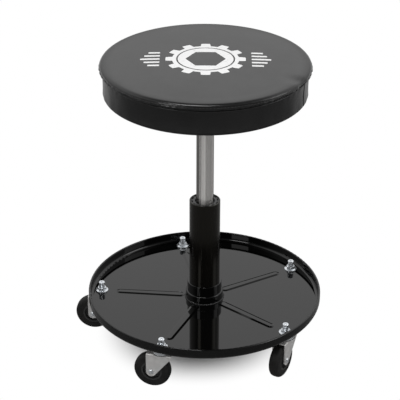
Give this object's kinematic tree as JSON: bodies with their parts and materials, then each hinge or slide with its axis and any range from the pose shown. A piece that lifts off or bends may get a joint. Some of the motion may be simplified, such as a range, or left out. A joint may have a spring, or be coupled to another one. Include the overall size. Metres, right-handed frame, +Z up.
{
  "type": "workshop stool",
  "caption": "Rolling workshop stool: round padded seat on a swivelling gas lift with a release lever, a round rimmed tool tray under it and swivel casters.",
  "frame": {"origin": "on the floor under the column axis, at the level where the wheels stand", "axes": "+Z up along the column axis, -Y towards the viewer of the picture, +X to the viewer's right"},
  "size_m": [0.4087, 0.4015, 0.4971],
  "materials": {
    "black_vinyl": "satin grained vinyl",
    "seat_foam": "open foam",
    "plywood": "black-stained plywood",
    "zinc_steel": "bright zinc plate",
    "gloss_black_paint": "gloss black powder coat",
    "satin_black_paint": "satin black paint",
    "ground_steel": "ground steel",
    "aluminium_fittings": "turned",
    "black_plastic": "moulded",
    "black_rubber": "matt",
    "wheel_rubber": "matt"
  },
  "bodies": {
    "base": {"outer_column": "gloss_black_paint", "guide_bush": "black_plastic", "bearing_lower_race": "ground_steel", "bearing_balls": "ground_steel", "hub_collar": "gloss_black_paint", "tool_tray": "gloss_black_paint", "caster_flange_nuts": "zinc_steel", "caster_stems": "zinc_steel", "swivel_caps": "zinc_steel", "swivel_balls": "ground_steel"},
    "gas_rod": {"piston_rod": "ground_steel", "piston": "aluminium_fittings", "bearing_upper_race": "ground_steel", "bump_stop": "black_rubber", "rod_washer": "zinc_steel", "rod_clip": "zinc_steel"},
    "seat": {"seat_top_panel": "black_vinyl", "seat_side_band": "black_vinyl", "seat_foam": "seat_foam", "seat_board": "plywood", "seat_staples": "zinc_steel", "tee_nuts": "zinc_steel", "seat_plate_bolts": "zinc_steel", "seat_plate": "satin_black_paint", "taper_socket": "satin_black_paint", "lever_pivot": "zinc_steel", "pressure_tube": "ground_steel", "rod_guide": "aluminium_fittings", "valve_body": "aluminium_fittings"},
    "lever": {"lever_arm": "satin_black_paint", "lever_grip": "black_plastic"},
    "release": {"release_pin": "ground_steel"},
    "caster_1": {"caster_fork_1": "zinc_steel", "wheel_axle_1": "zinc_steel", "wheel_bush_1": "ground_steel"},
    "wheel_1": {"wheel_hub_1": "black_plastic", "wheel_tyre_1": "wheel_rubber"},
    "caster_2": {"caster_fork_2": "zinc_steel", "wheel_axle_2": "zinc_steel", "wheel_bush_2": "ground_steel"},
    "wheel_2": {"wheel_hub_2": "black_plastic", "wheel_tyre_2": "wheel_rubber"},
    "caster_3": {"caster_fork_3": "zinc_steel", "wheel_axle_3": "zinc_steel", "wheel_bush_3": "ground_steel"},
    "wheel_3": {"wheel_hub_3": "black_plastic", "wheel_tyre_3": "wheel_rubber"},
    "caster_4": {"caster_fork_4": "zinc_steel", "wheel_axle_4": "zinc_steel", "wheel_bush_4": "ground_steel"},
    "wheel_4": {"wheel_hub_4": "black_plastic", "wheel_tyre_4": "wheel_rubber"},
    "caster_5": {"caster_fork_5": "zinc_steel", "wheel_axle_5": "zinc_steel", "wheel_bush_5": "ground_steel"},
    "wheel_5": {"wheel_hub_5": "black_plastic", "wheel_tyre_5": "wheel_rubber"}
  },
  "joints": [
    {"name": "seat_swivel", "type": "hinge", "parent": "base", "child": "gas_rod", "pos_m": [0, 0, 0.06], "axis": [0, 0, 1], "continuous": true},
    {"name": "seat_lift", "type": "slide", "parent": "gas_rod", "child": "seat", "axis": [0, 0, 1], "range_m": [-0.12, 0]},
    {"name": "lever_lift", "type": "hinge", "parent": "seat", "child": "lever", "pos_m": [0, 0.03, 0.4323], "axis": [1, 0, 0], "range_deg": [0, 5.5], "stiffness_Nm_per_rad": 2, "springref_deg": -2.86},
    {"name": "release_press", "type": "slide", "parent": "seat", "child": "release", "axis": [0, 0, 1], "range_m": [-0.003, 0]},
    {"name": "caster_swivel_1", "type": "hinge", "parent": "base", "child": "caster_1", "pos_m": [-0.17184, 0.01503, 0.0626], "axis": [0, 0, 1], "continuous": true},
    {"name": "wheel_spin_1", "type": "hinge", "parent": "caster_1", "child": "wheel_1", "pos_m": [-0.18625, 0.01668, 0.03], "axis": [-0.1132, -0.9936, 0], "continuous": true},
    {"name": "caster_swivel_2", "type": "hinge", "parent": "base", "child": "caster_2", "pos_m": [-0.0388, 0.16808, 0.0626], "axis": [0, 0, 1], "continuous": true},
    {"name": "wheel_spin_2", "type": "hinge", "parent": "caster_2", "child": "wheel_2", "pos_m": [-0.04561, 0.18088, 0.03], "axis": [-0.8829, -0.4695, 0], "continuous": true},
    {"name": "caster_swivel_3", "type": "hinge", "parent": "base", "child": "caster_3", "pos_m": [0.14786, 0.08884, 0.0626], "axis": [0, 0, 1], "continuous": true},
    {"name": "wheel_spin_3", "type": "hinge", "parent": "caster_3", "child": "wheel_3", "pos_m": [0.15422, 0.10188, 0.03], "axis": [-0.8988, 0.4384, 0], "continuous": true},
    {"name": "caster_swivel_4", "type": "hinge", "parent": "base", "child": "caster_4", "pos_m": [0.13019, -0.11317, 0.0626], "axis": [0, 0, 1], "continuous": true},
    {"name": "wheel_spin_4", "type": "hinge", "parent": "caster_4", "child": "wheel_4", "pos_m": [0.12316, -0.12585, 0.03], "axis": [0.8746, -0.4848, 0], "continuous": true},
    {"name": "caster_swivel_5", "type": "hinge", "parent": "base", "child": "caster_5", "pos_m": [-0.0674, -0.15879, 0.0626], "axis": [0, 0, 1], "continuous": true},
    {"name": "wheel_spin_5", "type": "hinge", "parent": "caster_5", "child": "wheel_5", "pos_m": [-0.08141, -0.15503, 0.03], "axis": [-0.2588, -0.9659, 0], "continuous": true}
  ],
  "couplings": [
    {"joint": "release_press", "follows": "lever_lift", "m_per_rad": -0.03}
  ]
}
